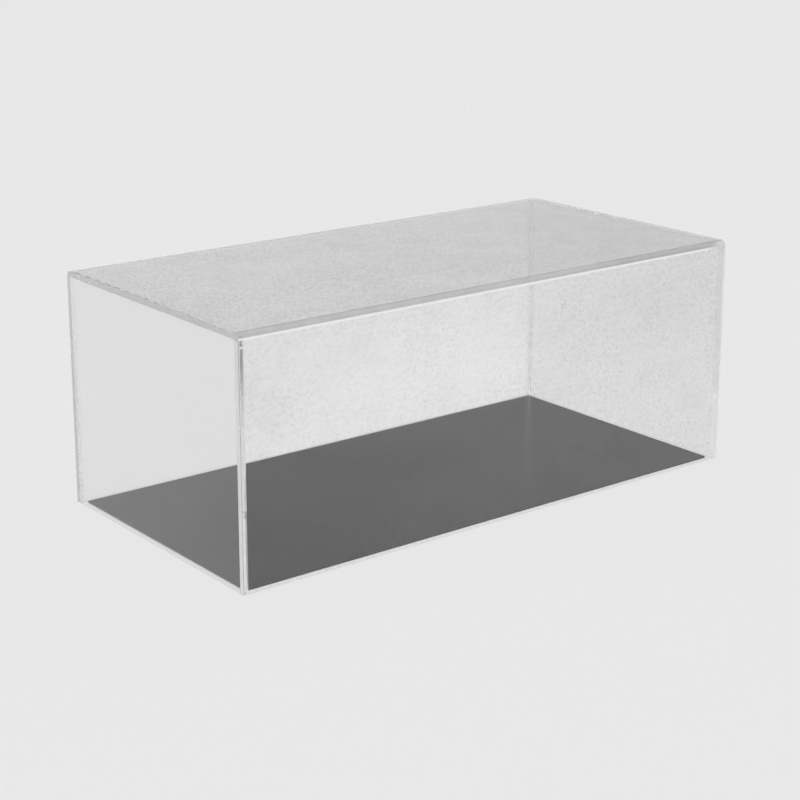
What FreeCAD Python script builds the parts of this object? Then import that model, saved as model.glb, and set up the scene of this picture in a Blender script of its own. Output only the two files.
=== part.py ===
import FreeCAD, Part
import Sketcher
import os
from math import atan2, pi

# Display case for a model car. A clear sheet bent into an upside-down U makes the
# front wall, the top and the back wall. Two clear end panels are cemented inside its
# cut ends. This cover stands over a loose glossy black sheet that carries the model.
# X runs along the front wall, Y from front to back, Z up. The origin is the middle of
# the footprint, on the surface that the case stands on. All sizes are millimetres.

SIZES = (
    ("case_length", 330, "outside, from cut end to cut end"),
    ("case_depth", 165, "outside, from front wall to back wall"),
    ("case_height", 130, "outside, from the bottom rim to the top"),
    ("sheet_thickness", 3, "the bent sheet of front, top and back"),
    ("panel_thickness", 3, "the two end panels"),
    ("bend_inner_radius", 0.6, "inside of the two line bends"),
    ("edge_break", 0.3, "broken outer edge round each cut end of the bent sheet"),
    ("cement_thickness", 0.15, "film of cement between an end panel and the bent sheet"),
    ("cement_setback", 0.5, "height above the rim at which the cement ends"),
    ("base_thickness", 1, "the black base sheet"),
    ("base_gap", 2.5, "play between the base sheet and the walls, all round"),
)

POINT_TOLERANCE = 1e-6

document = FreeCAD.newDocument("display_case")
sheet = document.addObject("Spreadsheet::Sheet", "sizes")
for row, (alias, value, meaning) in enumerate(SIZES, start=1):
    sheet.set(f"A{row}", alias)
    sheet.set(f"B{row}", str(value))
    sheet.setAlias(f"B{row}", alias)
    sheet.set(f"C{row}", meaning)
document.recompute()


class Size:
    """A length: its number now, and the expression that ties it to the sheet of sizes."""

    def __init__(self, number, expression):
        self.number = number
        self.expression = expression

    def __add__(self, other):
        return Size(self.number + other.number, f"({self.expression} + {other.expression})")

    def __sub__(self, other):
        return Size(self.number - other.number, f"({self.expression} - {other.expression})")

    def __neg__(self):
        return Size(-self.number, f"(-1 * {self.expression})")

    def __rmul__(self, factor):
        return Size(factor * self.number, f"({factor} * {self.expression})")

    def __truediv__(self, divisor):
        return Size(self.number / divisor, f"({self.expression} / {divisor})")


def size(alias):
    return Size(float(sheet.get(alias)), f"sizes.{alias}")


case_length = size("case_length")
case_depth = size("case_depth")
case_height = size("case_height")
sheet_thickness = size("sheet_thickness")
panel_thickness = size("panel_thickness")
bend_inner_radius = size("bend_inner_radius")
edge_break = size("edge_break")
cement_thickness = size("cement_thickness")
cement_setback = size("cement_setback")
base_thickness = size("base_thickness")
base_gap = size("base_gap")

half_length = case_length / 2
half_depth = case_depth / 2
bend_outer_radius = bend_inner_radius + sheet_thickness
half_inside_depth = half_depth - sheet_thickness
inside_height = case_height - sheet_thickness
half_panel_depth = half_inside_depth - cement_thickness
panel_height = inside_height - cement_thickness
rim = Size(0.0, "0")


def bind(target, name, length):
    """Sets a property or a sketch constraint from a size."""
    target.setExpression(name, length.expression)


class Outline:
    """A closed outline in a sketch, drawn through corners (across, up, radius or None)."""

    def __init__(self, sketch, corners):
        self.sketch = sketch
        self.corners = corners
        self.points = [FreeCAD.Vector(c[0].number, c[1].number, 0) for c in corners]
        self.lines = []
        for index in range(len(corners)):
            self.lines.append(self.add_line(index))
        for index in range(len(corners)):
            self.hold_line(index)
        for index in range(len(corners)):
            self.join_corner(index)

    def direction(self, index):
        """Unit vector along the line that leaves a corner."""
        following = self.points[(index + 1) % len(self.points)]
        return (following - self.points[index]).normalize()

    def radius(self, index):
        rounding = self.corners[index % len(self.corners)][2]
        return rounding.number if rounding else 0.0

    def add_line(self, index):
        along = self.direction(index)
        following = (index + 1) % len(self.points)
        start = self.points[index] + along * self.radius(index)
        end = self.points[following] - along * self.radius(following)
        return self.sketch.addGeometry(Part.LineSegment(start, end), False)

    def upright(self, index):
        return abs(self.direction(index).x) < POINT_TOLERANCE

    def level(self, index):
        return abs(self.direction(index).y) < POINT_TOLERANCE

    def constrain(self, *arguments):
        return self.sketch.addConstraint(Sketcher.Constraint(*arguments))

    def hold_across(self, line, length):
        number = self.constrain("DistanceX", line, 1, length.number)
        bind(self.sketch, f"Constraints[{number}]", length)

    def hold_up(self, line, length):
        """A height of nothing is held by the sketch's own horizontal axis."""
        if length is rim:
            self.constrain("PointOnObject", line, 1, -1)
            return
        number = self.constrain("DistanceY", line, 1, length.number)
        bind(self.sketch, f"Constraints[{number}]", length)

    def hold_line(self, index):
        across, up, _ = self.corners[index]
        line = self.lines[index]
        if self.upright(index):
            self.constrain("Vertical", line)
            self.hold_across(line, across)
        elif self.level(index):
            self.constrain("Horizontal", line)
            self.hold_up(line, up)
        elif self.upright(index - 1):
            self.hold_up(line, up)
        else:
            self.hold_across(line, across)

    def join_corner(self, index):
        """Joins the line that arrives at a corner to the line that leaves it."""
        arriving = self.lines[index - 1]
        leaving = self.lines[index]
        rounding = self.corners[index][2]
        if rounding is None:
            self.constrain("Coincident", arriving, 2, leaving, 1)
            self.hold_after_slope(index)
            return
        before = self.direction(index - 1)
        after = self.direction(index)
        centre = self.points[index] + (after - before) * rounding.number
        first = -after
        last = before
        turns_left = before.cross(after).z > 0
        if not turns_left:
            first, last = last, first
        start_angle = atan2(first.y, first.x)
        end_angle = atan2(last.y, last.x)
        if end_angle < start_angle:
            end_angle += 2 * pi
        circle = Part.Circle(centre, FreeCAD.Vector(0, 0, 1), rounding.number)
        arc = self.sketch.addGeometry(Part.ArcOfCircle(circle, start_angle, end_angle), False)
        arc_entry, arc_exit = (1, 2) if turns_left else (2, 1)
        self.constrain("Tangent", arriving, 2, arc, arc_entry)
        self.constrain("Tangent", arc, arc_exit, leaving, 1)
        number = self.constrain("Radius", arc, rounding.number)
        bind(self.sketch, f"Constraints[{number}]", rounding)

    def hold_after_slope(self, index):
        """A line that follows a sloping one also needs its other place held."""
        slopes = not self.upright(index - 1) and not self.level(index - 1)
        if not slopes:
            return
        across, up, _ = self.corners[index]
        if self.upright(index):
            self.hold_up(self.lines[index], up)
        else:
            self.hold_across(self.lines[index], across)


def origin_plane(body, role):
    for feature in body.Origin.OriginFeatures:
        if feature.Role == role:
            return feature
    raise RuntimeError(f"{body.Label} has no {role}")


def padded_body(label, plane, corners, thickness, symmetric):
    """A body with one pad, from an outline on one of its own origin planes."""
    body = document.addObject("PartDesign::Body", label)
    body.Label = label
    sketch = body.newObject("Sketcher::SketchObject", f"{label}_outline")
    sketch.AttachmentSupport = [(origin_plane(body, plane), "")]
    sketch.MapMode = "FlatFace"
    Outline(sketch, corners)
    pad = body.newObject("PartDesign::Pad", f"{label}_pad")
    pad.Profile = sketch
    pad.SideType = "Symmetric" if symmetric else "One side"
    bind(pad, "Length", thickness)
    document.recompute()
    if not sketch.FullyConstrained:
        raise RuntimeError(f"the outline of {label} is not fully held")
    return body


def bent_sheet():
    """Front wall, top and back wall in one sheet, with a line bend along each long edge."""
    corners = (
        (-half_depth, rim, None),
        (-half_depth, case_height, bend_outer_radius),
        (half_depth, case_height, bend_outer_radius),
        (half_depth, rim, None),
        (half_inside_depth, rim, None),
        (half_inside_depth, inside_height, bend_inner_radius),
        (-half_inside_depth, inside_height, bend_inner_radius),
        (-half_inside_depth, rim, None),
    )
    body = padded_body("cover_sheet", "YZ_Plane", corners, case_length, True)
    pad = body.Tip
    broken = [
        f"Edge{number}"
        for number, edge in enumerate(pad.Shape.Edges, start=1)
        if all(on_outer_end(vertex.Point) for vertex in edge.Vertexes)
        and edge.BoundBox.XLength < POINT_TOLERANCE
    ]
    chamfer = body.newObject("PartDesign::Chamfer", "cover_sheet_edge_break")
    chamfer.Base = (pad, broken)
    bind(chamfer, "Size", edge_break)
    body.Tip = chamfer
    return body


def on_outer_end(point):
    """True on the outer contour of either cut end of the bent sheet."""
    on_end = abs(abs(point.x) - half_length.number) < POINT_TOLERANCE
    on_wall = abs(abs(point.y) - half_depth.number) < POINT_TOLERANCE
    on_top = abs(point.z - case_height.number) < POINT_TOLERANCE
    return on_end and (on_wall or on_top)


# The panel's top corners are cut back by the bend's inner radius, so that they stay
# clear of it, and the cement fills what is left.
panel_shoulder = half_panel_depth - bend_inner_radius
panel_neck = panel_height - bend_inner_radius


def end_panel(label, start):
    corners = (
        (-half_panel_depth, rim, None),
        (-half_panel_depth, panel_neck, None),
        (-panel_shoulder, panel_height, None),
        (panel_shoulder, panel_height, None),
        (half_panel_depth, panel_neck, None),
        (half_panel_depth, rim, None),
    )
    body = padded_body(label, "YZ_Plane", corners, panel_thickness, False)
    bind(body, "Placement.Base.x", start)
    return body


def cement_seam(label, start):
    """The film between an end panel's three cemented edges and the bent sheet."""
    corners = (
        (-half_inside_depth, cement_setback, None),
        (-half_inside_depth, inside_height, bend_inner_radius),
        (half_inside_depth, inside_height, bend_inner_radius),
        (half_inside_depth, cement_setback, None),
        (half_panel_depth, cement_setback, None),
        (half_panel_depth, panel_neck, None),
        (panel_shoulder, panel_height, None),
        (-panel_shoulder, panel_height, None),
        (-half_panel_depth, panel_neck, None),
        (-half_panel_depth, cement_setback, None),
    )
    body = padded_body(label, "YZ_Plane", corners, panel_thickness, False)
    bind(body, "Placement.Base.x", start)
    return body


def base_plate():
    """The black sheet, smaller than the inside of the walls by the gap on each side."""
    half_base_length = half_length - panel_thickness - base_gap
    half_base_depth = half_inside_depth - base_gap
    corners = (
        (-half_base_length, -half_base_depth, None),
        (half_base_length, -half_base_depth, None),
        (half_base_length, half_base_depth, None),
        (-half_base_length, half_base_depth, None),
    )
    return padded_body("base_sheet", "XY_Plane", corners, base_thickness, False)


left_start = -half_length
right_start = half_length - panel_thickness

pieces = [
    bent_sheet(),
    end_panel("left_end_panel", left_start),
    end_panel("right_end_panel", right_start),
    cement_seam("left_cement_seam", left_start),
    cement_seam("right_cement_seam", right_start),
    base_plate(),
]

document.recompute()
for item in document.Objects:
    if "Invalid" in item.State or "Error" in item.State:
        raise RuntimeError(f"{item.Label} failed: {item.State}")
for piece in pieces:
    if piece.Shape.isNull() or not piece.Shape.isValid() or len(piece.Shape.Solids) != 1:
        raise RuntimeError(f"{piece.Label} is not one valid solid")

os.makedirs("parts", exist_ok=True)
for piece in pieces:
    piece.Shape.exportStep(f"parts/{piece.Label}.step")
    box = piece.Shape.BoundBox
    corner_text = " ".join(f"{value:.2f}" for value in (box.XMin, box.YMin, box.ZMin))
    extent_text = " ".join(f"{value:.2f}" for value in (box.XLength, box.YLength, box.ZLength))
    print(f"{piece.Label}: volume {piece.Shape.Volume:.1f}, from {corner_text}, size {extent_text}")
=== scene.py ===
import random
from math import cos, pi, radians, sin

import bmesh
import bpy
from bpy.props import FloatProperty, FloatVectorProperty, IntProperty, PointerProperty
from bpy.types import Operator, Panel, PropertyGroup
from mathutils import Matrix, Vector


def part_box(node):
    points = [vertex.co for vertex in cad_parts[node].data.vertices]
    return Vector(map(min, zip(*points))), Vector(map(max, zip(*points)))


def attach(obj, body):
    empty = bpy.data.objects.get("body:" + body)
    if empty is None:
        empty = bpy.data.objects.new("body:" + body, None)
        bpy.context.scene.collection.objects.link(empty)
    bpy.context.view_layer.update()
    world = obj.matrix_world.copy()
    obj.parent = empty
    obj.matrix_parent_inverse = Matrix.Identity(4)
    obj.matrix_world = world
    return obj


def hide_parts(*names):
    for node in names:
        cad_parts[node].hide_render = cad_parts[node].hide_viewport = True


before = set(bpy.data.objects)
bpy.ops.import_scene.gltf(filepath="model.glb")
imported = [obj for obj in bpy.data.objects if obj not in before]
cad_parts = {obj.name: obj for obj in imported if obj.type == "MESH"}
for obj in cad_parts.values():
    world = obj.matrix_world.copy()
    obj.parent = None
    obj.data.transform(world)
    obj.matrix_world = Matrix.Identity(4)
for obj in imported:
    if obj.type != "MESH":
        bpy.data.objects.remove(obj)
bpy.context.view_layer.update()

bl_info = {
    "name": "Model car display case",
    "version": (1, 0, 0),
    "blender": (4, 5, 0),
    "location": "3D View > Sidebar > Display case",
    "description": "Builds a clear display case over a black base sheet, and its stage",
    "category": "Object",
}

# X runs along the front wall, Y from front to back, Z up, in metres. The origin is the
# middle of the footprint. The sizes of the pieces are read from the frame.

COVER_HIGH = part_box("cover_sheet")[1]
PANEL_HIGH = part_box("left_end_panel")[1]
SEAM_LOW, SEAM_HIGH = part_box("left_cement_seam")
BASE_LOW, BASE_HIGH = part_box("base_sheet")

HALF_LENGTH = COVER_HIGH.x
HALF_DEPTH = COVER_HIGH.y
HEIGHT = COVER_HIGH.z
HALF_INSIDE_DEPTH = SEAM_HIGH.y
INSIDE_HEIGHT = SEAM_HIGH.z
SHEET_THICKNESS = HEIGHT - INSIDE_HEIGHT
FILM_THICKNESS = SEAM_HIGH.y - PANEL_HIGH.y
CEMENT_FOOT = SEAM_LOW.z

# The inner face of each end panel lies this far from the middle.
PANEL_REACH = -PANEL_HIGH.x

MILLIMETRE = 0.001
ACRYLIC_IOR = 1.49

# How much of the head-on reflection of polished acrylic shows.
HEAD_ON_GLOSS = 0.03

# Shares of the light that the line bends, the cut ends, the lower rims and the walls of air
# bubbles let through. They scatter the rest.
BEND_CLEARNESS = 0.3
CUT_CLEARNESS = 0.25
RIM_CLEARNESS = 0.1
BUBBLE_CLEARNESS = 0.2

# Shares of the light that go unbent through a cemented face and through the open cement of the
# front, the upper and the back seams.
JOINT_CLEARNESS = 0.9
FRONT_CEMENT_CLEARNESS = 0.5
UPPER_CEMENT_CLEARNESS = 0.05
BACK_CEMENT_CLEARNESS = 0.92

# Shares of a cemented face that haze covers, where the cement is full of bubbles and painted dark, low
# in the front seams where a whitish haze is painted light, and where the cement is thin, and how dark
# the open cement is where it holds bubbles, as painted shade, and where it is thin.
BUBBLY_SHADED_HAZE = 0.95
PAINTED_LIGHT_HAZE = 0.6
THIN_HAZE = 0.5
BUBBLY_PAINTED_SHADE = 0.9
THIN_SHADE = 0.35

# Shares of the lamps' light that get through to the surfaces behind.
POLISHED_SHARE = 0.998
SATIN_SHARE = 0.9
CEMENT_SHARE = 0.95

# Painted shade: the cement of the left front seam is more and more full of bubbles and painted dark
# from this height up, for the dark line that total reflection shows there, with a ragged lower end,
# and frothy
# close under the top. Painted light: low down, both front seams get a whitish haze for the light that
# runs up inside from the floor, and the haze gives way to thin cement between two heights.
BUBBLY_SHADED_FROM = 0.078
FROTHY_FROM = 0.1215
RAGGED_END = 0.006
PAINTED_LIGHT_END = (0.037, 0.041)

# The fine bubbles lie further than this from the outer end of the seam.
BUBBLES_INWARD = 1.9 * MILLIMETRE

# How handled the bent sheet and the end panels look, from 0 to 1.
SHEET_HANDLED = 1.0
PANEL_HANDLED = 0.12

# The film of dust fades out between these places, before the back wall.
FILM_END = (HALF_INSIDE_DEPTH - MILLIMETRE, HALF_INSIDE_DEPTH - 8.0 * MILLIMETRE)

# Strength of the film high on the walls, which it reaches between two heights, and at their
# right end. On the top it grows towards the right from the first to the sum of both.
UPPER_FILM = 0.3
UPPER_FILM_RISE = (0.3 * HEIGHT, 0.8 * HEIGHT)
RIGHT_FILM = 0.15
TOP_FILM = (0.12, 0.41)
TOP_FILM_RISE = (-0.8 * HALF_LENGTH, HALF_LENGTH)

# Painted reflection: the middle of the front wall is lighter, with less film and grain, over an oval
# of this half width and half height.
LIGHTER_OVAL_MIDDLE = Vector((-0.06, 0.0, 0.072))
LIGHTER_OVAL_REACH = (0.125, 0.07)

# The strokes of wiping run along the top at this turn from the Y axis.
WIPING_TURN = radians(38.0)

# A faint smear of cement fades out over this distance from a back or upper seam.
SMEAR_REACH = 4.0 * MILLIMETRE

# The front bend is duller from the first of these distances to the right, and most at the second.
DULLER_BEND = (0.04, 0.1)

# Painted shade: the broken edge of a cut end darkens between these distances from the middle, for the
# dark that its rounding reflects.
PAINTED_EDGE_SHADE = (HALF_LENGTH - 0.02 * MILLIMETRE, HALF_LENGTH - 0.08 * MILLIMETRE)

# Height of the painted highlight, a white line along the foot of the front bend.
PAINTED_HIGHLIGHT_HEIGHT = 1.2 * MILLIMETRE

# Towards the right end the bend grows paler from below, over this length and up to this height.
PALE_END_LENGTH = 18.0 * MILLIMETRE
PALE_END_HEIGHT = 2.2 * MILLIMETRE

# Facets round small roundings, at a clipped corner and across the hollow of the cement bead.
ROUNDING_STEPS = 3
CORNER_STEPS = 6
HOLLOW_STEPS = 5

# Edges bent by more than this stay sharp.
SHARP_FROM = radians(40.0)

# The roundings inside the cement get no smaller than this.
SMALLEST_RADIUS = 0.05 * MILLIMETRE

# For each end: its side, whether it is mirrored, its number of air bubbles and their seed.
SEAMS = (("left", False, 34, 5), ("right", True, 16, 9))

# Air bubbles: least and greatest radius in millimetres, how far down they reach, their least
# distance from the outer end and from the top, half their depth against the film's, and the
# least square of a distance between two against that of their radii together.
BUBBLE_RADII = (0.12, 0.42)
BUBBLES_DOWN = 24.0 * MILLIMETRE
BUBBLE_END_GAP = 0.2 * MILLIMETRE
BUBBLE_TOP_GAP = 1.0 * MILLIMETRE
BUBBLE_HALF_DEPTH = 0.4
BUBBLE_SPACING = 1.1
BUBBLE_TRIES = 4000
BUBBLE_RINGS = 6
BUBBLE_SIDES = 12

# Light that runs along inside a clear sheet is followed this far.
GUIDED_LIGHT_BOUNCES = 96

FLOOR_RADIUS = 9.0
FLOOR_SIDES = 96
FLOOR_BELOW = 0.15 * MILLIMETRE

# The surroundings darken between these heights of the direction of view.
DARKER_SKY = (0.02, 0.38)

# Compass heading and height of each light, and how wide they spread, in degrees.
MAIN_LIGHT_FROM = (-120.0, 50.0)
SECOND_LIGHT_FROM = (110.0, 60.0)
LIGHT_SPREAD = 90.0
LIGHT_DISTANCE = 2.0

# Heading and downward tilt in degrees, lens in millimetres.
CAMERA_PLACE = (-0.6137, -0.7782, 0.3540)
CAMERA_HEADING = 38.01
CAMERA_DOWN = 14.76
CAMERA_LENS = 83.3
CAMERA_SHIFT_UP = -0.1
CAMERA_NEAR = 0.02
CAMERA_FAR = 50.0

# What the colour settings have in common.
COLOUR = {"subtype": "COLOR", "size": 3, "min": 0.0, "max": 1.0}


class CaseSizes(PropertyGroup):
    """Small sizes that the boxes of the pieces don't give."""

    bend_inner_radius: FloatProperty(
        name="Bend radius inside",
        description="Inside radius of the two line bends of the sheet",
        default=0.6 * MILLIMETRE,
        unit="LENGTH",
    )
    bend_steps: IntProperty(
        name="Bend steps",
        description="Facets round each bend",
        default=24,
    )
    edge_break: FloatProperty(
        name="Broken edge",
        description="Rounding of the outer edge at the cut ends of the sheet",
        default=0.3 * MILLIMETRE,
        unit="LENGTH",
    )
    rim_rounding: FloatProperty(
        name="Rim rounding",
        description="Rounding of the lower edges of the walls",
        default=0.2 * MILLIMETRE,
        unit="LENGTH",
    )
    bead_radius: FloatProperty(
        name="Cement bead",
        description="Hollow fillet of cement in the inner corner of a seam",
        default=0.9 * MILLIMETRE,
        unit="LENGTH",
    )
    base_edge_rounding: FloatProperty(
        name="Base edge rounding",
        description="Rounding of the edges of the black sheet",
        default=0.15 * MILLIMETRE,
        unit="LENGTH",
    )


class CaseFinishes(PropertyGroup):
    """Colours of the materials."""

    acrylic_tint: FloatVectorProperty(
        name="Clear acrylic",
        description="What the clear sheet lets through",
        default=(0.995, 0.995, 0.995),
        **COLOUR,
    )
    left_panel_tint: FloatVectorProperty(
        name="Left end panel",
        description="What the clear left end panel lets through",
        default=(0.917, 0.917, 0.917),
        **COLOUR,
    )
    right_panel_tint: FloatVectorProperty(
        name="Right end panel",
        description="What the clear right end panel lets through",
        default=(0.955, 0.955, 0.955),
        **COLOUR,
    )
    mark_tint: FloatVectorProperty(
        name="Marks on the acrylic",
        description="What gets through where the sheet is scuffed or dusty",
        default=(0.78, 0.78, 0.78),
        **COLOUR,
    )
    satin_tint: FloatVectorProperty(
        name="Satin acrylic",
        description="Tone of the left cut ends, of dust specks and of clouded spots",
        default=(0.72, 0.72, 0.72),
        **COLOUR,
    )
    bend_tint: FloatVectorProperty(
        name="Dull acrylic",
        description="Tone of the front bend and of the duller cut ends",
        default=(0.5, 0.5, 0.5),
        **COLOUR,
    )
    # Also the colour of the painted highlight along the front bend and of the painted light low in the
    # front seams.
    haze_tint: FloatVectorProperty(
        name="Faint haze",
        description="Tone of the joints, the back bend, the lower rims and the right cut ends",
        default=(0.95, 0.95, 0.95),
        **COLOUR,
    )
    # Also the colour of painted shade: the dark of the bubble-filled cement in the left front seam and
    # of the broken edges.
    seam_and_shade_tint: FloatVectorProperty(
        name="Bubbly cement",
        description="Tone of bubbly cement, its outer ends and the darkest parts of the edges",
        default=(0.3, 0.3, 0.3),
        **COLOUR,
    )
    base_black: FloatVectorProperty(
        name="Black sheet",
        description="Colour of the sheet that the model stands on",
        default=(0.092, 0.092, 0.093),
        **COLOUR,
    )
    base_dust: FloatVectorProperty(
        name="Dust on the black sheet",
        description="Colour of the fine dust on the black sheet",
        default=(0.16, 0.16, 0.16),
        **COLOUR,
    )


class CaseStage(PropertyGroup):
    """The floor, the surroundings and the lights."""

    floor_colour: FloatVectorProperty(
        name="Floor",
        description="Colour of the floor",
        default=(0.88, 0.88, 0.88),
        **COLOUR,
    )
    horizon_colour: FloatVectorProperty(
        name="Surroundings, low",
        description="Tone of the surroundings at the horizon",
        default=(0.88, 0.88, 0.88),
        **COLOUR,
    )
    upper_colour: FloatVectorProperty(
        name="Surroundings, high",
        description="Tone of the surroundings overhead",
        default=(0.25, 0.25, 0.25),
        **COLOUR,
    )
    key_strength: FloatProperty(
        name="Main light",
        description="Strength of the large soft light from the upper left",
        default=1.85,
        min=0.0,
    )
    fill_strength: FloatProperty(
        name="Second light",
        description="Strength of the large soft light from the upper right",
        default=0.7,
        min=0.0,
    )


class Signal:
    """An output of a shader node, on which sums can be written."""

    def __init__(self, nodes, socket):
        self.nodes = nodes
        self.socket = socket

    def math(self, operation, first, second):
        return self.nodes.add("ShaderNodeMath", {"operation": operation}, {0: first, 1: second})

    def __add__(self, other):
        return self.math("ADD", self, other)

    __radd__ = __add__

    def __sub__(self, other):
        return self.math("SUBTRACT", self, other)

    def __rsub__(self, other):
        return self.math("SUBTRACT", other, self)

    def __mul__(self, other):
        return self.math("MULTIPLY", self, other)

    __rmul__ = __mul__

    def __abs__(self):
        return self.math("ABSOLUTE", self, 0.0)

    def at_least(self, other):
        return self.math("MAXIMUM", self, other)


class Nodes:
    """The nodes of one material or world."""

    def __init__(self, tree):
        self.tree = tree
        tree.nodes.clear()

    def add(self, kind, settings=None, inputs=None, output=0):
        """A node of a kind: its settings first, then values or links for its sockets."""
        node = self.tree.nodes.new(kind)
        for name, value in (settings or {}).items():
            setattr(node, name, value)
        for name, value in (inputs or {}).items():
            if isinstance(value, Signal):
                self.tree.links.new(value.socket, node.inputs[name])
            else:
                node.inputs[name].default_value = value
        return Signal(self, node.outputs[output]) if node.outputs else None

    def place(self, stretch=(1.0, 1.0, 1.0), turn=(0.0, 0.0, 0.0)):
        """The place on the object in metres, turned and then stretched."""
        point = self.add("ShaderNodeTexCoord", output="Object")
        turned = self.add("ShaderNodeMapping", None, {"Vector": point, "Rotation": turn})
        return self.add("ShaderNodeMapping", None, {"Vector": turned, "Scale": stretch})

    def along(self, place, axis):
        """The distance along one axis of a place."""
        return self.add("ShaderNodeSeparateXYZ", None, {"Vector": place}, axis)

    def noise(self, place, scale, detail=3.0, roughness=0.5):
        inputs = {"Vector": place, "Scale": scale, "Detail": detail, "Roughness": roughness}
        return self.add("ShaderNodeTexNoise", None, inputs)

    def ramp(self, value, low, high):
        """A smooth step of a value: 0 at low and 1 at high."""
        inputs = {"Value": value, "From Min": low, "From Max": high}
        return self.add("ShaderNodeMapRange", {"interpolation_type": "SMOOTHSTEP"}, inputs)

    def mix_colour(self, factor, first, second):
        """A mixture of two colours, each of them a setting or the output of a node."""
        first, second = (item if isinstance(item, Signal) else rgba(item) for item in (first, second))
        return self.add("ShaderNodeMix", {"data_type": "RGBA"}, {0: factor, 6: first, 7: second}, 2)

    def mix_shader(self, factor, first, second):
        return self.add("ShaderNodeMixShader", None, {0: factor, 1: first, 2: second})

    def transparent(self, share=1.0):
        """Lets a share of the light through unbent."""
        return self.add("ShaderNodeBsdfTransparent", None, {"Color": (share, share, share, 1.0)})

    def bump(self, strength, depth, height):
        """Fine relief of a depth in millimetres."""
        inputs = {"Strength": strength, "Distance": depth * MILLIMETRE, "Height": height}
        return self.add("ShaderNodeBump", None, inputs)

    def surface(self, shader):
        """Makes a shader the surface of the material."""
        self.add("ShaderNodeOutputMaterial", None, {"Surface": shader})

    def specks(self, place, cell, share, size):
        """Small dots, one in some of the cells of a size in metres."""
        inputs = {"Vector": place, "Scale": 1.0 / cell}
        distance = self.add("ShaderNodeTexVoronoi", None, inputs, "Distance")
        colour = self.add("ShaderNodeTexVoronoi", None, inputs, "Color")
        chosen = self.add("ShaderNodeSeparateColor", None, {"Color": colour})
        softness = 0.02
        kept = self.ramp(chosen, 1.0 - share, 1.0 - share + softness)
        return kept * self.ramp(distance, size, 0.4 * size)

    def scratches(self, turn, spacing, length):
        """Fine hairlines along one direction, where a stretched noise runs thin."""
        place = self.place((1.0 / length, 1.0 / spacing, 1.0 / spacing), turn)
        lines = self.noise(place, scale=1.0, detail=1.0, roughness=0.4)
        return self.ramp(lines, 0.69, 0.73)


def rgba(colour):
    return (colour[0], colour[1], colour[2], 1.0)


def new_material(name):
    material = bpy.data.materials.new(name)
    material.use_nodes = True
    return material, Nodes(material.node_tree)


def clear_surface(nodes, glass, share):
    """The glass as it is seen. Light on its way to a dull surface goes through it unbent."""
    shadow = nodes.add("ShaderNodeLightPath", output="Is Shadow Ray")
    bounced = nodes.add("ShaderNodeLightPath", output="Is Diffuse Ray")
    clear = nodes.transparent(share)
    nodes.surface(nodes.mix_shader(shadow, nodes.mix_shader(bounced, glass, clear), clear))


def clear_plastic(nodes, tint, roughness, relief, share, gloss=1.0):
    """Plastic that lets a share of the light through and scatters the rest."""
    inputs = {
        "Base Color": tint,
        "Roughness": roughness,
        "IOR": ACRYLIC_IOR,
        "Transmission Weight": share,
        "Specular Tint": (gloss, gloss, gloss, 1.0),
    }
    if relief is not None:
        inputs["Normal"] = relief
    return nodes.add("ShaderNodeBsdfPrincipled", None, inputs)


def dull_plastic(nodes, tint, roughness):
    """Plastic that lets no light through."""
    inputs = {"Base Color": tint, "Roughness": roughness, "IOR": ACRYLIC_IOR}
    return nodes.add("ShaderNodeBsdfPrincipled", None, inputs)


def acrylic_sheet_look(nodes, clear_tint, finishes, handled):
    """Tint, roughness and relief of a polished face. handled is how scuffed it is, from 0 to 1."""
    place = nodes.place()
    sideways = nodes.along(place, "X")
    height = nodes.along(place, "Z")
    outside = handled * nodes.ramp(nodes.along(place, "Y"), *FILM_END)
    overhead = nodes.ramp(height, INSIDE_HEIGHT - MILLIMETRE, INSIDE_HEIGHT)
    # Painted reflection: a lighter oval in the middle of the front wall, with less film and grain.
    lighter_oval = lighter_oval_share(nodes, place) * (1.0 - overhead)

    # Soft smudges, and fine grain that is stronger in patches, most of all on the top.
    cloud = nodes.noise(place, scale=24.0, detail=2.0)
    patches = nodes.ramp(cloud, 0.35, 0.65)
    strokes = nodes.place((1.0, 0.4, 1.0), (0.0, 0.0, WIPING_TURN))
    grain = nodes.ramp(nodes.noise(strokes, scale=560.0, detail=3.0, roughness=0.6), 0.45, 0.68)
    smudges = nodes.ramp(nodes.noise(place, scale=28.0, detail=5.0, roughness=0.9), 0.42, 0.66)
    mottle = grain * (0.6 + 0.45 * patches) * (0.6 + 0.45 * overhead - 0.1 * lighter_oval)
    mottle = mottle + smudges * (0.2 + 0.15 * overhead)

    # An even film, thicker high up and towards the right end, and gone in the lighter oval of painted
    # reflection.
    high = nodes.ramp(height, *UPPER_FILM_RISE)
    film = (UPPER_FILM - UPPER_FILM * lighter_oval) * high
    film = film + RIGHT_FILM * nodes.ramp(sideways, 0.0, HALF_LENGTH)
    dusty_end = nodes.ramp(sideways, *TOP_FILM_RISE)
    film = film * (1.0 - overhead) + overhead * (TOP_FILM[0] + TOP_FILM[1] * dusty_end)

    marks = outside * (mottle + film) + 0.25 * seam_smear(nodes, place)
    dust = nodes.specks(place, cell=9.0 * MILLIMETRE, share=0.25, size=0.07)
    lines = nodes.scratches((0.0, 0.0, 0.5), spacing=0.35 * MILLIMETRE, length=18.0 * MILLIMETRE)
    crossing = nodes.scratches((0.7, 0.3, -0.4), spacing=0.4 * MILLIMETRE, length=25.0 * MILLIMETRE)
    lines = lines.at_least(crossing)
    tint = nodes.mix_colour(marks, clear_tint, finishes.mark_tint)
    tint = nodes.mix_colour(outside * dust, tint, finishes.satin_tint)
    roughness = 0.004 + 0.02 * outside * smudges + 0.08 * outside * lines
    relief = nodes.bump(0.05 * handled, 0.02, cloud + 0.2 * lines)
    return tint, roughness, relief


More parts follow.
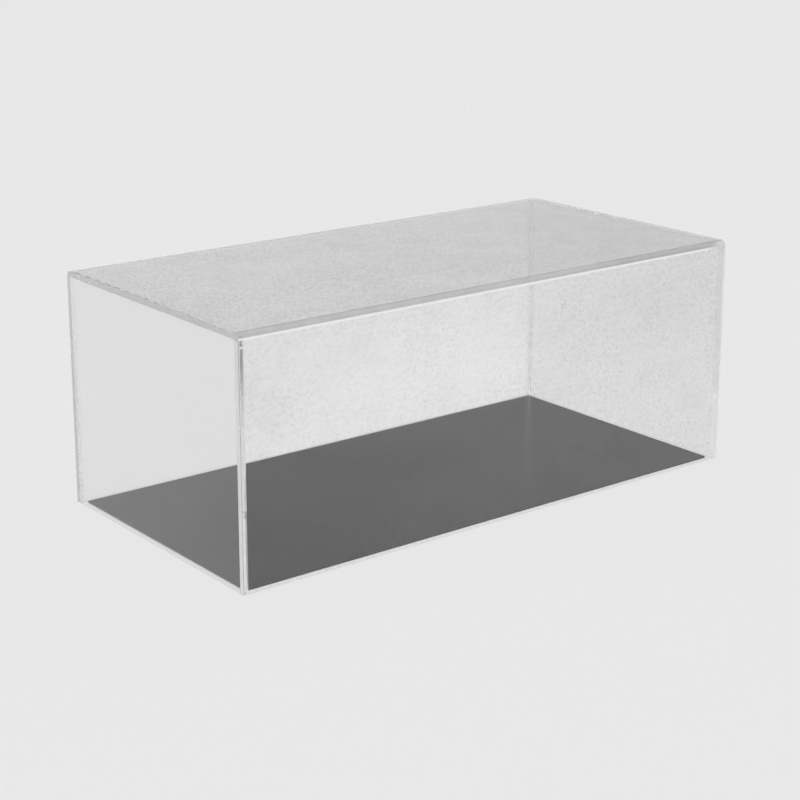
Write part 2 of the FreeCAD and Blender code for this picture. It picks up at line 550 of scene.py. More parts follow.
def seam_smear(nodes, place):
    """1 at the inner corner of a back or upper seam, falling softly to 0 away from it."""
    along_sheet = nodes.ramp(abs(nodes.along(place, "X")), PANEL_REACH - SMEAR_REACH, PANEL_REACH)
    back = nodes.ramp(nodes.along(place, "Y"), HALF_INSIDE_DEPTH - SMEAR_REACH, HALF_INSIDE_DEPTH)
    upper = nodes.ramp(nodes.along(place, "Z"), INSIDE_HEIGHT - SMEAR_REACH, INSIDE_HEIGHT)
    return along_sheet * back.at_least(upper)


def lighter_oval_share(nodes, place):
    """1 in the middle of the lighter oval of the front wall, a painted reflection, falling softly to 0
    round it.
    """
    stretch = Vector((1.0 / LIGHTER_OVAL_REACH[0], 0.0, 1.0 / LIGHTER_OVAL_REACH[1]))
    inputs = {"Vector": place, "Scale": stretch, "Location": -LIGHTER_OVAL_MIDDLE * stretch}
    oval = nodes.add("ShaderNodeMapping", None, inputs)
    away = nodes.add("ShaderNodeVectorMath", {"operation": "LENGTH"}, {0: oval}, "Value")
    return nodes.ramp(away, 1.0, 0.2)


def acrylic_material(name, clear_tint, finishes, handled):
    material, nodes = new_material(name)
    tint, roughness, relief = acrylic_sheet_look(nodes, clear_tint, finishes, handled)
    glass = clear_plastic(nodes, tint, roughness, relief, 1.0, HEAD_ON_GLOSS)
    clear_surface(nodes, glass, POLISHED_SHARE)
    return material


def bend_material(sizes, finishes):
    """The line bends, slightly clouded by the heat. Along the foot of the front one runs a painted
    highlight, a white line, and its right end is paler."""
    material, nodes = new_material("acrylic_line_bend")
    place = nodes.place()
    sideways = nodes.along(place, "X")
    backward = nodes.along(place, "Y")
    height = nodes.along(place, "Z")
    cloud = nodes.ramp(nodes.noise(place, scale=130.0), 0.3, 0.7)
    drawn = nodes.noise(nodes.place((30.0, 900.0, 900.0)), scale=1.0, detail=2.0)
    right_end = nodes.ramp(sideways, HALF_LENGTH - PALE_END_LENGTH, HALF_LENGTH - MILLIMETRE)

    highlight_top = INSIDE_HEIGHT - sizes.bend_inner_radius + PAINTED_HIGHLIGHT_HEIGHT
    highlight_softness = 0.3 * MILLIMETRE
    pale_softness = 0.8 * MILLIMETRE
    # Painted highlight: a white line along the foot of the front bend, at the lower end of its outer
    # rounding.
    painted_highlight = nodes.ramp(height, highlight_top + highlight_softness, highlight_top - highlight_softness)
    front = nodes.ramp(backward, MILLIMETRE - HALF_DEPTH, 0.5 * MILLIMETRE - HALF_DEPTH)
    painted_highlight = painted_highlight * front * (1.0 - right_end)
    above = height - PALE_END_HEIGHT * right_end
    pale = right_end * nodes.ramp(above, highlight_top + pale_softness, highlight_top - pale_softness)
    clearer = nodes.ramp(backward, -MILLIMETRE, MILLIMETRE)

    tone = nodes.mix_colour(0.2 * cloud, finishes.bend_tint, finishes.satin_tint)
    tone = nodes.mix_colour(0.4 * nodes.ramp(sideways, *DULLER_BEND), tone, finishes.seam_and_shade_tint)
    tone = nodes.mix_colour(0.85 * pale, tone, finishes.satin_tint)
    tint = nodes.mix_colour(painted_highlight.at_least(clearer), tone, finishes.haze_tint)
    roughness = 0.1 + 0.08 * drawn
    relief = nodes.bump(0.2, 0.02, drawn)
    glass = clear_plastic(nodes, tint, roughness, relief, BEND_CLEARNESS)
    clear_surface(nodes, glass, SATIN_SHARE)
    return material


def cut_edge_material(finishes):
    """The sawn and scraped ends: satin, with fine tool marks across the sheet, and at the left a
    painted dark reflection on the broken edge."""
    material, nodes = new_material("acrylic_cut_edge")
    place = nodes.place()
    sideways = nodes.along(place, "X")
    dull_edge = 2.0 * MILLIMETRE
    saw = nodes.noise(nodes.place((900.0, 900.0, 2600.0)), scale=1.0, detail=2.0)
    cloud = nodes.noise(place, scale=90.0, detail=1.0)
    top = nodes.ramp(nodes.along(place, "Z"), INSIDE_HEIGHT - dull_edge, INSIDE_HEIGHT)
    back = nodes.ramp(nodes.along(place, "Y"), HALF_INSIDE_DEPTH - dull_edge, HALF_INSIDE_DEPTH)
    left = nodes.ramp(sideways, MILLIMETRE, -MILLIMETRE)
    broken = nodes.ramp(abs(sideways), *PAINTED_EDGE_SHADE)
    satin = nodes.mix_colour(left, finishes.haze_tint, finishes.satin_tint)
    satin = nodes.mix_colour(top.at_least(back) * left, satin, finishes.bend_tint)
    # Painted shade: the broken edge at the left is darkened for the dark that its rounding reflects.
    satin = nodes.mix_colour(broken * left * (1.0 - 0.7 * top), satin, finishes.seam_and_shade_tint)
    tint = nodes.mix_colour(0.2 * cloud, satin, finishes.haze_tint)
    roughness = 0.2 + 0.12 * cloud
    relief = nodes.bump(0.25, 0.03, saw + 0.5 * cloud)
    glass = clear_plastic(nodes, tint, roughness, relief, CUT_CLEARNESS)
    clear_surface(nodes, glass, SATIN_SHARE)
    return material


def rim_material(finishes):
    """The lower rims of the walls: sanded, so they catch the light that runs down inside."""
    material, nodes = new_material("acrylic_lower_rim")
    sanded = nodes.noise(nodes.place((1.0, 1.0, 3.0)), scale=700.0, detail=2.0)
    tint = nodes.mix_colour(0.3 + 0.4 * sanded, finishes.haze_tint, finishes.satin_tint)
    roughness = 0.35 + 0.15 * sanded
    relief = nodes.bump(0.2, 0.03, sanded)
    glass = clear_plastic(nodes, tint, roughness, relief, RIM_CLEARNESS)
    clear_surface(nodes, glass, SATIN_SHARE)
    return material


def hidden_material():
    """Faces of the cement that lie against acrylic, where there is no boundary to see."""
    material, nodes = new_material("cement_against_acrylic")
    nodes.surface(nodes.transparent())
    return material


def upright_seams(nodes, place, side):
    """1 at the front seams, for a side of -1, or at the back seams, for 1, and 0 at the others."""
    outward = side * nodes.along(place, "Y")
    seam_from = HALF_INSIDE_DEPTH - 2.0 * MILLIMETRE
    return nodes.ramp(outward, seam_from, seam_from + MILLIMETRE)


def bubbly_shade_share(nodes, place, front):
    """How full of fine bubbles the cement is, and how much painted shade darkens it: more and more
    towards the top of the left front seam.
    """
    height = nodes.along(place, "Z") + nodes.noise(place, scale=60.0) * RAGGED_END
    more = nodes.ramp(height, BUBBLY_SHADED_FROM, FROTHY_FROM)
    sideways = nodes.along(place, "X")
    left = nodes.ramp(sideways, MILLIMETRE, -MILLIMETRE)
    bubbles_from = BUBBLES_INWARD - HALF_LENGTH
    softness = 0.3 * MILLIMETRE
    inward = nodes.ramp(sideways, bubbles_from, bubbles_from + softness)
    return more * left * inward * front


def joint_material(finishes):
    """Faces wetted by the cement: a slight haze, whitish low in the front seams as painted light, and
    painted dark, with a pale froth, where the cement is full of bubbles."""
    material, nodes = new_material("acrylic_wetted_by_cement")
    place = nodes.place()
    height = nodes.along(place, "Z")
    front = upright_seams(nodes, place, -1.0)
    # Painted light: low in the front seams a whitish haze stands for the light that runs up inside
    # from the floor.
    upper_part = nodes.ramp(height, *PAINTED_LIGHT_END)
    thin = front * upper_part
    painted_light = front * (1.0 - upper_part)
    bubbly_shaded = bubbly_shade_share(nodes, place, front)
    froth = nodes.ramp(nodes.noise(place, scale=700.0, detail=0.0), 0.55, 0.59)
    froth = froth * nodes.ramp(height, FROTHY_FROM, FROTHY_FROM + MILLIMETRE)
    hazy = (0.5 * nodes.noise(place, scale=220.0)).at_least(thin)
    hazy = nodes.mix_colour(hazy, finishes.haze_tint, finishes.satin_tint)
    # Painted shade: where the cement is full of bubbles the wetted face turns dark, with a pale froth.
    foam = nodes.mix_colour(froth, finishes.seam_and_shade_tint, finishes.haze_tint)
    haze = dull_plastic(nodes, nodes.mix_colour(bubbly_shaded, hazy, foam), 0.6)
    covered = (BUBBLY_SHADED_HAZE * bubbly_shaded).at_least(PAINTED_LIGHT_HAZE * painted_light).at_least(THIN_HAZE * thin)
    joint = nodes.mix_shader(JOINT_CLEARNESS * (1.0 - covered), haze, nodes.transparent())
    clear_surface(nodes, joint, CEMENT_SHARE)
    return material


def cement_material(finishes):
    """The open surface of the hardened cement: clear and wavy, full of bubbles and painted dark high
    in the left front seam, and dark at the outer ends."""
    material, nodes = new_material("cement")
    place = nodes.place()
    front = upright_seams(nodes, place, -1.0)
    back = upright_seams(nodes, place, 1.0)
    ripple = nodes.noise(place, scale=700.0, detail=2.0)
    bubbly_shaded = bubbly_shade_share(nodes, place, front)
    reach = abs(nodes.along(place, "X"))
    end_softness = 0.05 * MILLIMETRE
    outer_end = nodes.ramp(reach, HALF_LENGTH - end_softness, HALF_LENGTH)
    thin = front * nodes.ramp(nodes.along(place, "Z"), *PAINTED_LIGHT_END)
    # Painted shade: where it is full of bubbles the cement is darkened for the dark line that total
    # reflection shows there.
    shade = (BUBBLY_PAINTED_SHADE * bubbly_shaded).at_least(outer_end).at_least(THIN_SHADE * thin)
    tint = nodes.mix_colour(shade, finishes.acrylic_tint, finishes.seam_and_shade_tint)
    roughness = 0.03 + 0.08 * ripple
    relief = nodes.bump(0.08, 0.05, ripple)
    glass = clear_plastic(nodes, tint, roughness, relief, 1.0)
    clearness = UPPER_CEMENT_CLEARNESS + (BACK_CEMENT_CLEARNESS - UPPER_CEMENT_CLEARNESS) * back
    clearness = clearness + (FRONT_CEMENT_CLEARNESS - UPPER_CEMENT_CLEARNESS) * front
    film = nodes.mix_shader(clearness * (1.0 - outer_end), glass, nodes.transparent())
    clear_surface(nodes, film, CEMENT_SHARE)
    return material


def bubble_material(finishes):
    """The wall of an air bubble in the cement, which looks dark beside the clear cement."""
    material, nodes = new_material("air_bubble")
    grain = nodes.noise(nodes.place(), scale=1500.0, detail=2.0)
    tint = nodes.mix_colour(grain, finishes.seam_and_shade_tint, finishes.satin_tint)
    roughness = 0.1 + 0.2 * grain
    nodes.surface(clear_plastic(nodes, tint, roughness, None, BUBBLE_CLEARNESS))
    return material


def base_material(finishes):
    """Black sheet with a satin gloss, a haze of dust and a few specks."""
    material, nodes = new_material("black_gloss")
    place = nodes.place()
    cloud = nodes.ramp(nodes.noise(place, scale=14.0), 0.35, 0.7)
    grain = nodes.noise(place, scale=600.0, detail=4.0, roughness=0.7)
    specks = nodes.specks(place, cell=8.0 * MILLIMETRE, share=0.3, size=0.04)
    tint = nodes.mix_colour(0.1 * cloud + 0.2 * grain, finishes.base_black, finishes.base_dust)
    tint = nodes.mix_colour(0.5 * specks, tint, finishes.base_dust)
    roughness = 0.2 + 0.04 * cloud
    nodes.surface(dull_plastic(nodes, tint, roughness))
    return material


class Shell:
    """Vertices and faces of one piece, with a material number for each face."""

    def __init__(self):
        self.points = []
        self.faces = []
        self.kinds = []
        self.first_void_face = None

    def add_points(self, points):
        first = len(self.points)
        self.points.extend(points)
        return list(range(first, len(self.points)))

    def add_face(self, corners, kind):
        self.faces.append(corners)
        self.kinds.append(kind)

    def bridge(self, first, second, kind, closed):
        """Quads between two rows of points. kind is a number, or gives one for each quad."""
        count = len(first)
        for index in range(count if closed else count - 1):
            following = (index + 1) % count
            number = kind(index) if callable(kind) else kind
            corners = (first[index], first[following], second[following], second[index])
            self.add_face(corners, number)

    def piece(self, name, materials, mirrored=False):
        """The finished object, mirrored along X for the right-hand end."""
        points = [(-x, y, z) for x, y, z in self.points] if mirrored else self.points
        mesh = bpy.data.meshes.new(name)
        mesh.from_pydata(points, [], self.faces)
        for material in materials:
            mesh.materials.append(material)
        for polygon, kind in zip(mesh.polygons, self.kinds):
            polygon.material_index = kind
        self.face_outwards(mesh)
        mesh.shade_smooth()
        mesh.set_sharp_from_angle(angle=SHARP_FROM)
        mesh.validate()
        item = bpy.data.objects.new(name, mesh)
        bpy.context.scene.collection.objects.link(item)
        keeps_flat = item.modifiers.new("flat faces stay flat", "WEIGHTED_NORMAL")
        keeps_flat.keep_sharp = True
        return item

    def face_outwards(self, mesh):
        """Turns every face away from the solid, which for a void means into the void."""
        shape = bmesh.new()
        shape.from_mesh(mesh)
        bmesh.ops.recalc_face_normals(shape, faces=shape.faces)
        if self.first_void_face is not None:
            shape.faces.ensure_lookup_table()
            bmesh.ops.reverse_faces(shape, faces=shape.faces[self.first_void_face:])
        shape.to_mesh(mesh)
        shape.free()


def rounded_off(radius, steps):
    """Points of a rounded corner, as distances from its two sides, from the second side on."""
    angles = [0.5 * pi * step / steps for step in range(steps + 1)]
    return [(radius * (1.0 - sin(angle)), radius * (1.0 - cos(angle))) for angle in angles]


def quarter(centre, radius, start, steps):
    """Points of a clockwise quarter circle in Y and Z, from a start angle."""
    angles = [start - 0.5 * pi * step / steps for step in range(steps + 1)]
    return [(centre[0] + radius * cos(angle), centre[1] + radius * sin(angle)) for angle in angles]


def with_legs(corners, half_width, levels):
    """An upside-down U from the front foot to the back foot, with a point at each level."""
    front = [(-half_width, level) for level in levels]
    back = [(half_width, level) for level in reversed(levels)]
    return front + corners + back


def u_line(half_width, top, radius, steps, levels):
    """An upside-down U with round corners."""
    low = top - radius
    first_bend = quarter((-half_width + radius, low), radius, pi, steps)
    second_bend = quarter((half_width - radius, low), radius, 0.5 * pi, steps)
    return with_legs(first_bend + second_bend, half_width, levels)


def clipped_u_line(half_width, top, clip, steps, levels):
    """The same line with straight cut-off corners, and as many points."""
    shares = [step / steps for step in range(steps + 1)]
    first_corner = [(-half_width + clip * share, top - clip * (1.0 - share)) for share in shares]
    second_corner = [(half_width - clip * (1.0 - share), top - clip * share) for share in shares]
    return with_legs(first_corner + second_corner, half_width, levels)


def wall_levels(sizes):
    """Heights at which the rim's rounding ends and the cement begins."""
    return (sizes.rim_rounding, CEMENT_FOOT)


def rounded_foot(outer_y, inner_y, rounding):
    """The lower edge of a wall from its outer to its inner face, in Y and Z."""
    side = 1.0 if outer_y > inner_y else -1.0
    corner = rounded_off(rounding, ROUNDING_STEPS)
    outer = [(outer_y - side * inward, up) for up, inward in corner[1:]]
    inner = [(inner_y + side * outward, up) for outward, up in corner[:-1]]
    return outer + inner


def build_bent_sheet(sizes, materials):
    """Front wall, top and back wall. Materials: polished, cut, wetted, bent and rim faces."""
    polished, cut, wetted, bent, rim = range(5)
    shell = Shell()
    steps = sizes.bend_steps
    levels = wall_levels(sizes)
    outer_radius = sizes.bend_inner_radius + SHEET_THICKNESS
    inner = u_line(HALF_INSIDE_DEPTH, INSIDE_HEIGHT, sizes.bend_inner_radius, steps, levels)
    chain = len(inner)

    def section(x, inset):
        outer = u_line(HALF_DEPTH - inset, HEIGHT - inset, outer_radius - inset, steps, levels)
        back_foot = rounded_foot(HALF_DEPTH - inset, HALF_INSIDE_DEPTH, sizes.rim_rounding)
        front_foot = rounded_foot(-HALF_DEPTH + inset, -HALF_INSIDE_DEPTH, sizes.rim_rounding)
        loop = outer + back_foot + inner[::-1] + front_foot[::-1]
        return shell.add_points([(x, y, z) for y, z in loop])

    first_bend = len(levels)
    second_bend = first_bend + steps + 1

    def in_bend(corner):
        """Whether the span of the U from this point to the next one is bent."""
        return first_bend <= corner < first_bend + steps or second_bend <= corner < second_bend + steps

    # Sections from the left end to the right: the broken edge, the seam, its bead, and mirrored.
    broken_edge = reversed(rounded_off(sizes.edge_break, ROUNDING_STEPS))
    stations = [(-HALF_LENGTH + along, inset) for along, inset in broken_edge]
    stations += [(-PANEL_REACH, 0.0), (-PANEL_REACH + sizes.bead_radius, 0.0)]
    stations += [(-x, inset) for x, inset in reversed(stations)]
    loops = [section(x, inset) for x, inset in stations]
    edge_spans = ROUNDING_STEPS
    seam_spans = edge_spans + 2
    spans = len(loops) - 1
    inner_start = (len(loops[0]) - 2 * chain) // 2 + chain
    inner_end = inner_start + chain - 1

    for index in range(spans):
        from_end = min(index, spans - 1 - index)

        def kind(corner, at_seam=from_end < seam_spans, on_edge=from_end < edge_spans):
            if inner_start < corner < inner_end - 1:
                if at_seam:
                    return wetted
                return bent if in_bend(chain - 2 - (corner - inner_start)) else polished
            if inner_start <= corner < inner_end:
                return polished
            if corner < chain - 1:
                return cut if on_edge else bent if in_bend(corner) else polished
            return rim

        shell.bridge(loops[index], loops[index + 1], kind, closed=True)

    for loop, turned in ((loops[0], True), (loops[-1], False)):
        outer = loop[:chain]
        inner_side = loop[inner_start:inner_end + 1][::-1]
        if turned:
            shell.bridge(inner_side, outer, cut, closed=False)
        else:
            shell.bridge(outer, inner_side, cut, closed=False)
        back_cap = loop[chain - 1:inner_start + 1]
        front_cap = loop[inner_end:] + [loop[0]]
        for cap in (back_cap, front_cap):
            shell.add_face(tuple(reversed(cap)) if turned else tuple(cap), cut)
    return shell.piece("clear_bent_sheet", materials)


def build_end_panel(sizes, name, mirrored, materials):
    """A flat panel. Materials: polished face, cut edge, wetted face, lower rim."""
    polished, cut, wetted, rim = range(4)
    shell = Shell()
    levels = wall_levels(sizes)
    clip = sizes.bend_inner_radius
    bead = sizes.bead_radius
    half_width = HALF_INSIDE_DEPTH - FILM_THICKNESS
    outline = clipped_u_line(half_width, INSIDE_HEIGHT - FILM_THICKNESS, clip, CORNER_STEPS, levels)
    inside = clipped_u_line(
        HALF_INSIDE_DEPTH - bead, INSIDE_HEIGHT - bead, 0.5 * clip, CORNER_STEPS, levels
    )
    outer_row = shell.add_points([(-HALF_LENGTH, y, z) for y, z in outline])
    inner_row = shell.add_points([(-PANEL_REACH, y, z) for y, z in outline])
    bead_row = shell.add_points([(-PANEL_REACH, y, z) for y, z in inside])
    last = len(outline) - 1

    def wetted_or(other):
        """Wetted faces above the foot of the cement, and other ones below it."""
        return lambda index: wetted if 1 <= index < last - 1 else other

    shell.bridge(outer_row, inner_row, wetted_or(cut), closed=False)
    shell.bridge(inner_row, bead_row, wetted_or(polished), closed=False)
    for index in range(last // 2):
        mirror = last - index
        for row, order in ((outer_row, -1), (bead_row, 1)):
            corners = (row[index], row[index + 1], row[mirror - 1], row[mirror])
            shell.add_face(corners[::order], polished)

    corner = rounded_off(sizes.rim_rounding, ROUNDING_STEPS)[1:]
    across = [(-HALF_LENGTH + inward, up) for up, inward in corner]
    across += [(-HALF_LENGTH - PANEL_REACH - x, z) for x, z in reversed(across)]
    front_y = outline[0][0]
    back_y = outline[-1][0]
    front = [outer_row[0]] + shell.add_points([(x, front_y, z) for x, z in across]) + [inner_row[0]]
    back = [outer_row[-1]] + shell.add_points([(x, back_y, z) for x, z in across]) + [inner_row[-1]]
    for index in range(len(front) - 2):
        shell.add_face((front[index], front[index + 1], back[index + 1], back[index]), rim)
    shell.add_face((front[-2], front[-1], bead_row[0], bead_row[-1], back[-1], back[-2]), rim)
    shell.add_face(tuple(front), cut)
    shell.add_face(tuple(reversed(back)), cut)
    return shell.piece(name, materials, mirrored)


def build_cement_seam(sizes, name, mirrored, bubbles, seed, materials):
    """The film and its bead. Materials: open surface, face against acrylic, bubble."""
    open_face, hidden, bubble = range(3)
    shell = Shell()
    clip = sizes.bend_inner_radius
    bead = sizes.bead_radius

    def row(x, depth, outline, corner):
        """The line of an outline at a depth below the inside of the sheet."""
        half_width = HALF_INSIDE_DEPTH - depth
        line = outline(half_width, INSIDE_HEIGHT - depth, corner, CORNER_STEPS, (CEMENT_FOOT,))
        return shell.add_points([(x, y, z) for y, z in line])

    def round_row(x, depth):
        return row(x, depth, u_line, max(clip - depth, SMALLEST_RADIUS))

    hollow = []
    for down, inward in rounded_off(bead, HOLLOW_STEPS)[1:-1]:
        hollow.append(round_row(-PANEL_REACH + inward, down))
    rows = [round_row(-HALF_LENGTH, 0.0)]
    rows += [row(x, FILM_THICKNESS, clipped_u_line, clip) for x in (-HALF_LENGTH, -PANEL_REACH)]
    rows += [row(-PANEL_REACH, bead, clipped_u_line, 0.5 * clip)]
    rows += hollow + [round_row(-PANEL_REACH + bead, 0.0)]
    kinds = [open_face, hidden, hidden] + [open_face] * HOLLOW_STEPS + [hidden]
    for index, kind in enumerate(kinds):
        shell.bridge(rows[index], rows[(index + 1) % len(rows)], kind, closed=False)
    shell.add_face(tuple(line[0] for line in rows), open_face)
    shell.add_face(tuple(line[-1] for line in reversed(rows)), open_face)
    add_bubbles(shell, bubbles, seed, bubble)
    return shell.piece(name, materials, mirrored)


def bubble_places(count, seed):
    """X, Z and radius of each air bubble of a front seam, most of them close to its top."""
    draw = random.Random(seed)
    placed = []
    for _ in range(BUBBLE_TRIES):
        if len(placed) == count:
            break
        radius = draw.uniform(*BUBBLE_RADII) * MILLIMETRE
        x = draw.uniform(-HALF_LENGTH + radius + BUBBLE_END_GAP, -PANEL_REACH - radius)
        z = INSIDE_HEIGHT - BUBBLE_TOP_GAP - radius - draw.random() ** 3 * BUBBLES_DOWN
        if any(
            (x - a) ** 2 + (z - b) ** 2 < (radius + c) ** 2 * BUBBLE_SPACING for a, b, c in placed
        ):
            continue
        placed.append((x, z, radius))
    return placed


def add_bubbles(shell, count, seed, kind):
    """Flat round voids in the film of the front seam."""
    middle_y = -HALF_INSIDE_DEPTH + 0.5 * FILM_THICKNESS
    half_flat = BUBBLE_HALF_DEPTH * FILM_THICKNESS
    shell.first_void_face = len(shell.faces)
    for x, z, radius in bubble_places(count, seed):
        pole_near = shell.add_points([(x, middle_y - half_flat, z)])[0]
        pole_far = shell.add_points([(x, middle_y + half_flat, z)])[0]
        rows = []
        for ring in range(1, BUBBLE_RINGS):
            angle = pi * ring / BUBBLE_RINGS
            across = radius * sin(angle)
            y = middle_y - half_flat * cos(angle)
            turns = [2.0 * pi * side / BUBBLE_SIDES for side in range(BUBBLE_SIDES)]
            circle = [(x + across * cos(turn), y, z + across * sin(turn)) for turn in turns]
            rows.append(shell.add_points(circle))
        for first, second in zip(rows, rows[1:]):
            shell.bridge(second, first, kind, closed=True)
        for side in range(BUBBLE_SIDES):
            following = (side + 1) % BUBBLE_SIDES
            shell.add_face((pole_near, rows[0][following], rows[0][side]), kind)
            shell.add_face((pole_far, rows[-1][side], rows[-1][following]), kind)


def build_base_sheet(sizes, material):
    """The black sheet with softly rounded edges."""
    shell = Shell()
    corner = rounded_off(sizes.base_edge_rounding, ROUNDING_STEPS)
    profile = [(inset, BASE_LOW.z + up) for inset, up in corner]
    profile += [(inset, BASE_HIGH.z - down) for down, inset in corner]
    rows = []
    for inset, z in profile:
        x = BASE_HIGH.x - inset
        y = BASE_HIGH.y - inset
        rows.append(shell.add_points([(-x, -y, z), (x, -y, z), (x, y, z), (-x, y, z)]))
    for first, second in zip(rows, rows[1:]):
        shell.bridge(first, second, 0, closed=True)
    shell.add_face(tuple(reversed(rows[0])), 0)
    shell.add_face(tuple(rows[-1]), 0)
    return shell.piece("black_base_sheet", [material])


def build_floor(stage):
    """A round pale floor, a little below the case."""
    shell = Shell()
    turns = [2.0 * pi * side / FLOOR_SIDES for side in range(FLOOR_SIDES)]
    circle = [(FLOOR_RADIUS * cos(turn), FLOOR_RADIUS * sin(turn), -FLOOR_BELOW) for turn in turns]
    centre = shell.add_points([(0.0, 0.0, -FLOOR_BELOW)])[0]
    rim = shell.add_points(circle)
    for side in range(FLOOR_SIDES):
        shell.add_face((centre, rim[side], rim[(side + 1) % FLOOR_SIDES]), 0)
    material, nodes = new_material("floor")
    inputs = {"Base Color": rgba(stage.floor_colour), "Roughness": 0.9, "Specular IOR Level": 0.2}
    nodes.surface(nodes.add("ShaderNodeBsdfPrincipled", None, inputs))
    return shell.piece("floor", [material])


def light_surroundings(scene, stage):
    """A pale surround that darkens towards the top."""
    world = bpy.data.worlds.new("surroundings")
    world.use_nodes = True
    nodes = Nodes(world.node_tree)
    direction = nodes.add("ShaderNodeTexCoord", output="Generated")
    height = nodes.ramp(nodes.along(direction, "Z"), *DARKER_SKY)
    tone = nodes.mix_colour(height, stage.horizon_colour, stage.upper_colour)
    background = nodes.add("ShaderNodeBackground", None, {"Color": tone, "Strength": 1.0})
    nodes.add("ShaderNodeOutputWorld", None, {"Surface": background})
    scene.world = world


def add_soft_light(scene, name, place, strength):
    """A large soft light far away, at a compass heading and a height in degrees."""
    heading, height = (radians(angle) for angle in place)
    level = cos(height)
    away = Vector((sin(heading) * level, cos(heading) * level, sin(height)))
    light = bpy.data.lights.new(name, "SUN")
    light.energy = strength
    light.angle = radians(LIGHT_SPREAD)
    lamp = bpy.data.objects.new(name, light)
    lamp.rotation_euler = away.to_track_quat("Z", "Y").to_euler()
    lamp.location = LIGHT_DISTANCE * away
    scene.collection.objects.link(lamp)


def add_camera(scene):
    camera = bpy.data.cameras.new("camera")
    camera.lens = CAMERA_LENS
    camera.shift_y = CAMERA_SHIFT_UP
    camera.clip_start = CAMERA_NEAR
    camera.clip_end = CAMERA_FAR
    holder = bpy.data.objects.new("camera", camera)
    holder.location = CAMERA_PLACE
    holder.rotation_euler = (radians(90.0 - CAMERA_DOWN), 0.0, radians(-CAMERA_HEADING))
    scene.collection.objects.link(holder)
    scene.camera = holder


# Materials that the sheet and the end panels have in common, each with its maker.
SHARED_MATERIALS = (
    ("acrylic_cut_edge", cut_edge_material),
    ("acrylic_wetted_by_cement", joint_material),
    ("acrylic_lower_rim", rim_material),
)


def shared_materials(finishes):
    """Cut, wetted and rim material, made once and then found again."""
    return [bpy.data.materials.get(name) or make(finishes) for name, make in SHARED_MATERIALS]


def case_settings(context):
    settings = context.scene.display_case
    return settings.sizes, settings.finishes, settings.stage


class DISPLAYCASE_OT_bent_sheet(Operator):
    """Build the clear sheet that is bent into front wall, top and back wall"""

    bl_idname = "display_case.bent_sheet"
    bl_label = "Bent sheet"

    def execute(self, context):
        sizes, finishes, _ = case_settings(context)
        polished = acrylic_material("acrylic_sheet", finishes.acrylic_tint, finishes, SHEET_HANDLED)
        cut, wetted, rim = shared_materials(finishes)
        bent = bend_material(sizes, finishes)
        piece = build_bent_sheet(sizes, [polished, cut, wetted, bent, rim])
        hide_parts("cover_sheet")
        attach(piece, "cover")
        return {"FINISHED"}


class DISPLAYCASE_OT_end_panels(Operator):
    """Build the two clear end panels"""

    bl_idname = "display_case.end_panels"
    bl_label = "End panels"

    def execute(self, context):
        sizes, finishes, _ = case_settings(context)
        cut, wetted, rim = shared_materials(finishes)
        tints = {"left": finishes.left_panel_tint, "right": finishes.right_panel_tint}
        for side, mirrored, _, _ in SEAMS:
            face = acrylic_material(f"acrylic_{side}_panel", tints[side], finishes, PANEL_HANDLED)
            materials = [face, cut, wetted, rim]
            piece = build_end_panel(sizes, f"clear_{side}_end_panel", mirrored, materials)
            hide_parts(f"{side}_end_panel")
            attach(piece, "cover")
        return {"FINISHED"}


class DISPLAYCASE_OT_cement_seams(Operator):
    """Build the films of cement that join the end panels to the bent sheet"""

    bl_idname = "display_case.cement_seams"
    bl_label = "Cement seams"

    def execute(self, context):
        sizes, finishes, _ = case_settings(context)
        materials = [cement_material(finishes), hidden_material(), bubble_material(finishes)]
        for side, mirrored, bubbles, seed in SEAMS:
            name = f"clear_{side}_cement_seam"
            piece = build_cement_seam(sizes, name, mirrored, bubbles, seed, materials)
            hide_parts(f"{side}_cement_seam")
            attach(piece, "cover")
        return {"FINISHED"}


class DISPLAYCASE_OT_base_sheet(Operator):
    """Build the black sheet that the model stands on"""

    bl_idname = "display_case.base_sheet"
    bl_label = "Base sheet"

    def execute(self, context):
        sizes, finishes, _ = case_settings(context)
        piece = build_base_sheet(sizes, base_material(finishes))
        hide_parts("base_sheet")
        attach(piece, "base")
        return {"FINISHED"}


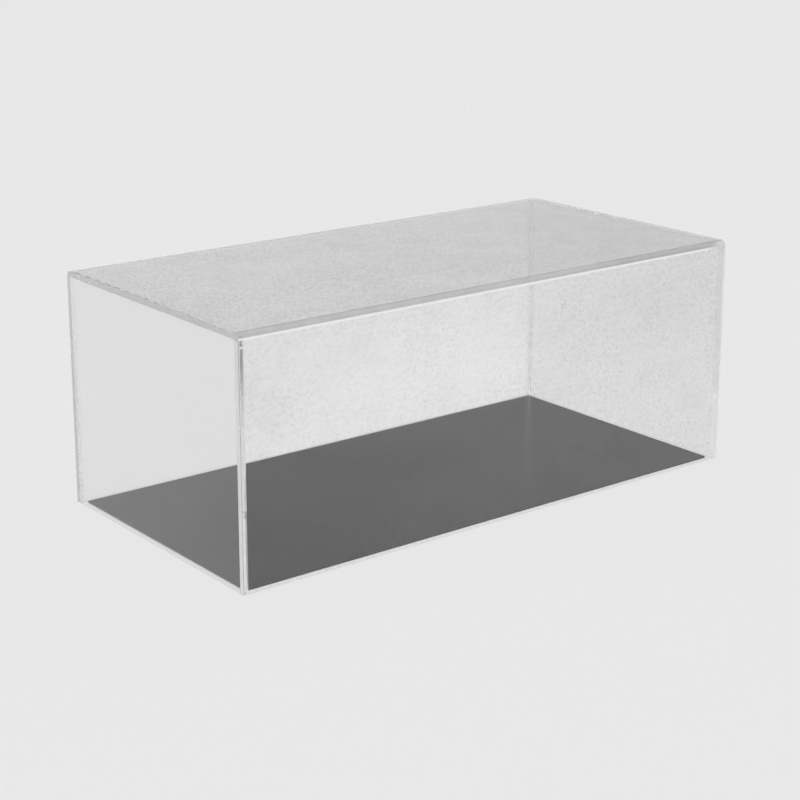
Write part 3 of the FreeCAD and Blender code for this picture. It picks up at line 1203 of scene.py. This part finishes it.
class DISPLAYCASE_OT_stage(Operator):
    """Build the floor, the light and the camera"""

    bl_idname = "display_case.stage"
    bl_label = "Stage"

    def execute(self, context):
        scene = context.scene
        stage = case_settings(context)[2]
        scene.view_settings.view_transform = "Standard"
        for kind in ("max", "glossy", "transmission", "transparent_max"):
            setattr(scene.cycles, f"{kind}_bounces", GUIDED_LIGHT_BOUNCES)
        build_floor(stage)
        light_surroundings(scene, stage)
        add_soft_light(scene, "main_light", MAIN_LIGHT_FROM, stage.key_strength)
        add_soft_light(scene, "second_light", SECOND_LIGHT_FROM, stage.fill_strength)
        add_camera(scene)
        return {"FINISHED"}


BUILDERS = (
    DISPLAYCASE_OT_bent_sheet,
    DISPLAYCASE_OT_end_panels,
    DISPLAYCASE_OT_cement_seams,
    DISPLAYCASE_OT_base_sheet,
    DISPLAYCASE_OT_stage,
)


class DISPLAYCASE_PT_sidebar(Panel):
    """Buttons and settings of the display case"""

    bl_label = "Display case"
    bl_idname = "DISPLAYCASE_PT_sidebar"
    bl_space_type = "VIEW_3D"
    bl_region_type = "UI"
    bl_category = "Display case"

    def draw(self, context):
        for builder in BUILDERS:
            self.layout.operator(builder.bl_idname)
        for group in case_settings(context):
            box = self.layout.box()
            for name in group.__annotations__:
                box.prop(group, name)


class CaseSettings(PropertyGroup):
    """All settings of the display case."""

    sizes: PointerProperty(type=CaseSizes)
    finishes: PointerProperty(type=CaseFinishes)
    stage: PointerProperty(type=CaseStage)


CLASSES = (CaseSizes, CaseFinishes, CaseStage, CaseSettings) + BUILDERS + (DISPLAYCASE_PT_sidebar,)


def register():
    for item in CLASSES:
        bpy.utils.register_class(item)
    bpy.types.Scene.display_case = PointerProperty(type=CaseSettings)


def unregister():
    del bpy.types.Scene.display_case
    for item in reversed(CLASSES):
        bpy.utils.unregister_class(item)


def main():
    register()
    bpy.ops.display_case.bent_sheet()
    bpy.ops.display_case.end_panels()
    bpy.ops.display_case.cement_seams()
    bpy.ops.display_case.base_sheet()
    bpy.ops.display_case.stage()


if __name__ == "__main__":
    main()
